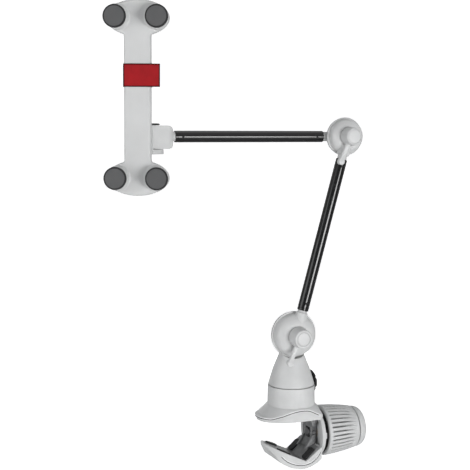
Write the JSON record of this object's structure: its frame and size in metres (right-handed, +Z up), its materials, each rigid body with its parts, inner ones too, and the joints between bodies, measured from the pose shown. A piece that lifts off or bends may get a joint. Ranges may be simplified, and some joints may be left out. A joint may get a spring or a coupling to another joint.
{
  "type": "clamp-on tablet and phone holder",
  "caption": "Desk clamp with a turning neck, two elbows on tubes and a swinging, tilting plate with round pads that carries a tablet or phone.",
  "frame": {"origin": "middle of the upper jaw's flat underside, where the table edge rests, under the neck's axis", "axes": "+Z up along the neck, +X out through the clamp's knob, the tablet faces about -Y"},
  "size_m": [0.2838, 0.0812, 0.463],
  "materials": {
    "silver": "satin silver",
    "frame_metal": "die cast, dull",
    "tube_black": "black, polished",
    "black_plastic": "satin",
    "jaw_rubber": "matte",
    "grip_rubber": "matte",
    "band_red": "satin silicone",
    "steel": "turned",
    "brass": "turned"
  },
  "bodies": {
    "clamp": {"upper_jaw": "silver", "upper_jaw_pads": "jaw_rubber", "pivot_bracket": "frame_metal", "jaw_pivot_pin": "steel", "rod_bush": "brass", "knob_washer": "black_plastic", "shoulder_plug": "black_plastic"},
    "lower_jaw": {"jaw_shell": "silver", "jaw_frame": "frame_metal", "jaw_pads": "jaw_rubber"},
    "rod": {"draw_rod": "steel", "rod_cross_pin": "steel"},
    "knob": {"clamp_knob": "silver", "knob_end_cap": "silver", "knob_nut": "brass"},
    "neck": {"pan_post": "steel", "neck_shell": "silver", "base_friction_disc": "black_plastic", "base_elbow_stud": "steel"},
    "pan_lock": {"pan_lock_knob": "black_plastic", "pan_lock_screw": "steel"},
    "base_lever": {"base_lock_lever": "silver", "base_lever_cap": "silver"},
    "lower_arm": {"base_drum_front": "silver", "lower_tube": "tube_black", "top_drum_front": "silver", "lower_tube_pins": "steel"},
    "upper_arm": {"top_friction_disc": "black_plastic", "top_elbow_stud": "steel", "top_drum_rear": "silver", "upper_tube": "tube_black", "upper_tube_pins": "steel", "swing_knuckle": "silver"},
    "top_lever": {"top_lock_lever": "silver", "top_lever_cap": "silver"},
    "head": {"swing_bracket": "silver", "swing_pin": "steel", "tilt_pin": "steel"},
    "swing_lock": {"swing_lock_knob": "black_plastic"},
    "tilt_link": {"tilt_block": "silver", "spin_hub_screw": "steel"},
    "plate": {"holder_plate": "silver", "plate_back_cover": "silver", "plate_screws": "steel", "grip_pad_top_left": "grip_rubber", "grip_pad_top_right": "grip_rubber", "grip_pad_bottom_left": "grip_rubber", "grip_pad_bottom_right": "grip_rubber", "red_band": "band_red"}
  },
  "joints": [
    {"name": "pan", "type": "hinge", "parent": "clamp", "child": "neck", "pos_m": [0, 0, 0.0337], "axis": [0, 0, 1], "continuous": true},
    {"name": "base_elbow", "type": "hinge", "parent": "neck", "child": "lower_arm", "pos_m": [0, 0, 0.0872], "axis": [0.0872, 0.9962, 0], "range_deg": [-120, 80]},
    {"name": "top_elbow", "type": "hinge", "parent": "lower_arm", "child": "upper_arm", "pos_m": [0.05448, -0.00477, 0.2885], "axis": [-0.0872, -0.9962, 0], "range_deg": [-105, 40]},
    {"name": "swing", "type": "hinge", "parent": "upper_arm", "child": "head", "pos_m": [-0.15167, 0.01628, 0.2885], "axis": [0, 0, 1], "range_deg": [-60, 30]},
    {"name": "tilt", "type": "hinge", "parent": "head", "child": "tilt_link", "pos_m": [-0.16219, -0.00529, 0.2885], "axis": [0.8988, -0.4384, 0], "range_deg": [-30, 30]},
    {"name": "spin", "type": "hinge", "parent": "tilt_link", "child": "plate", "pos_m": [-0.16517, -0.0114, 0.2885], "axis": [-0.4384, -0.8988, 0], "range_deg": [-90, 90]},
    {"name": "base_lever_turn", "type": "hinge", "parent": "neck", "child": "base_lever", "pos_m": [0, 0, 0.0872], "axis": [-0.0872, -0.9962, 0], "range_deg": [0, 100]},
    {"name": "top_lever_turn", "type": "hinge", "parent": "upper_arm", "child": "top_lever", "pos_m": [0.05448, -0.00477, 0.2885], "axis": [-0.0872, -0.9962, 0], "range_deg": [0, 100]},
    {"name": "pan_lock_turn", "type": "hinge", "parent": "clamp", "child": "pan_lock", "pos_m": [0.0216, 0.01813, 0.0304], "axis": [0.766, 0.6428, 0], "range_deg": [0, 270]},
    {"name": "swing_lock_turn", "type": "hinge", "parent": "head", "child": "swing_lock", "pos_m": [-0.15167, 0.01628, 0.2885], "axis": [0, 0, 1], "range_deg": [0, 270]},
    {"name": "clamp_turn", "type": "hinge", "parent": "clamp", "child": "knob", "pos_m": [0.04, 0, -0.0188], "axis": [1, 0, 0], "range_deg": [0, 910.1]},
    {"name": "rod_slide", "type": "slide", "parent": "clamp", "child": "rod", "axis": [1, 0, 0], "range_m": [-0.0038, 0]},
    {"name": "jaw_hinge", "type": "hinge", "parent": "clamp", "child": "lower_jaw", "pos_m": [0.0232, 0, -0.006], "axis": [0, 1, 0], "range_deg": [0, 16.51]}
  ],
  "couplings": [
    {"joint": "rod_slide", "follows": "clamp_turn", "m_per_rad": -0.00023873},
    {"joint": "jaw_hinge", "follows": "clamp_turn", "ratio": 0.01813}
  ]
}
